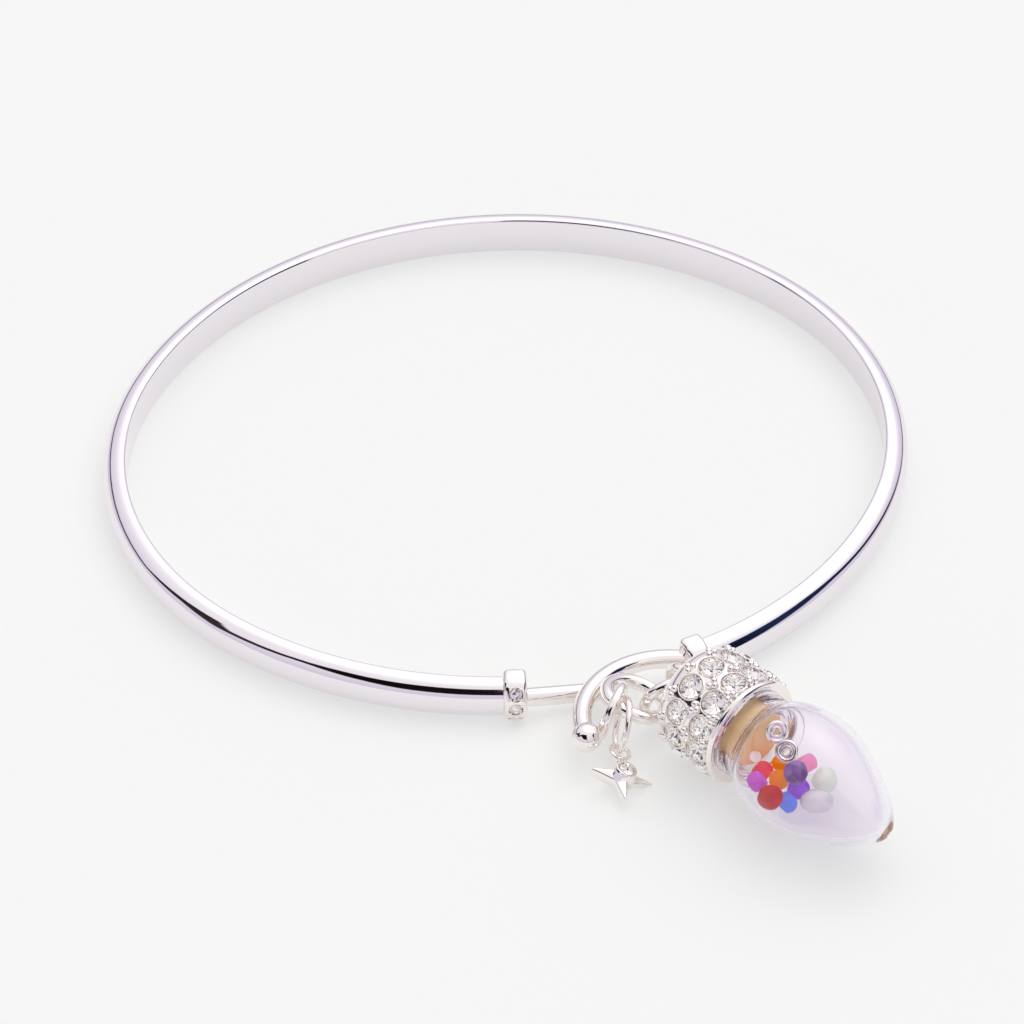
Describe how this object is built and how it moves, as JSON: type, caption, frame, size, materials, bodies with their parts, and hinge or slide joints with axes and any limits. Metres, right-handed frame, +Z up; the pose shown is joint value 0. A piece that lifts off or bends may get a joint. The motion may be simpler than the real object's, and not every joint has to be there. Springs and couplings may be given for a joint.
{
  "type": "tension cuff bracelet",
  "caption": "Oval hook-and-eye tension cuff with stone-set end collars, a star charm and a clear glass bulb charm of loose beads under a pave cap.",
  "frame": {"origin": "centre of the oval wrist opening, on the plane that the bracelet lies on", "axes": "+Z up, out of the surface that it lies on and along the way the wrist goes through; +X along the oval's long axis; the clasp and charms are towards -Y"},
  "size_m": [0.0626, 0.0806, 0.0095],
  "materials": {
    "silver": "bright polished silver",
    "crystal": "clear, foil-backed, faceted",
    "clear_glass": "clear with a faint lilac tint",
    "stopper_tan": "matt",
    "glass_magenta": "translucent",
    "glass_coral": "translucent",
    "glass_red": "translucent",
    "glass_amber": "translucent",
    "glass_orange": "translucent",
    "glass_plum": "translucent",
    "glass_pink": "translucent",
    "glass_violet": "translucent",
    "glass_blue": "translucent",
    "glass_smoke": "translucent",
    "glass_clear": "clear",
    "pearl": "pearly"
  },
  "bodies": {
    "root": {"cuff": "silver", "collar_stone_1": "crystal", "collar_stone_2": "crystal", "collar_stone_3": "crystal", "collar_stone_4": "crystal", "collar_stone_5": "crystal", "collar_stone_6": "crystal", "bail_ring": "silver", "link_ring": "silver", "star_ring": "silver", "star": "silver", "star_stone": "crystal", "cap": "silver", "cap_stone_01": "crystal", "cap_stone_02": "crystal", "cap_stone_03": "crystal", "cap_stone_04": "crystal", "cap_stone_05": "crystal", "cap_stone_06": "crystal", "cap_stone_07": "crystal", "cap_stone_08": "crystal", "cap_stone_09": "crystal", "cap_stone_10": "crystal", "cap_stone_11": "crystal", "cap_stone_12": "crystal", "cap_stone_13": "crystal", "cap_stone_14": "crystal", "cap_stone_15": "crystal", "cap_stone_16": "crystal", "cap_stone_17": "crystal", "cap_stone_18": "crystal", "cap_stone_19": "crystal", "cap_stone_20": "crystal", "cap_stone_21": "crystal", "cap_stone_22": "crystal", "cap_stone_23": "crystal", "cap_stone_24": "crystal", "bulb": "clear_glass", "stopper": "stopper_tan", "bead_magenta": "glass_magenta", "bead_coral": "glass_coral", "bead_red": "glass_red", "bead_amber": "glass_amber", "bead_orange": "glass_orange", "bead_plum": "glass_plum", "bead_pink": "glass_pink", "bead_violet": "glass_violet", "bead_blue": "glass_blue", "bead_smoke": "glass_smoke", "bead_clear": "glass_clear", "pearl": "pearl", "curl": "silver"}
  },
  "joints": []
}
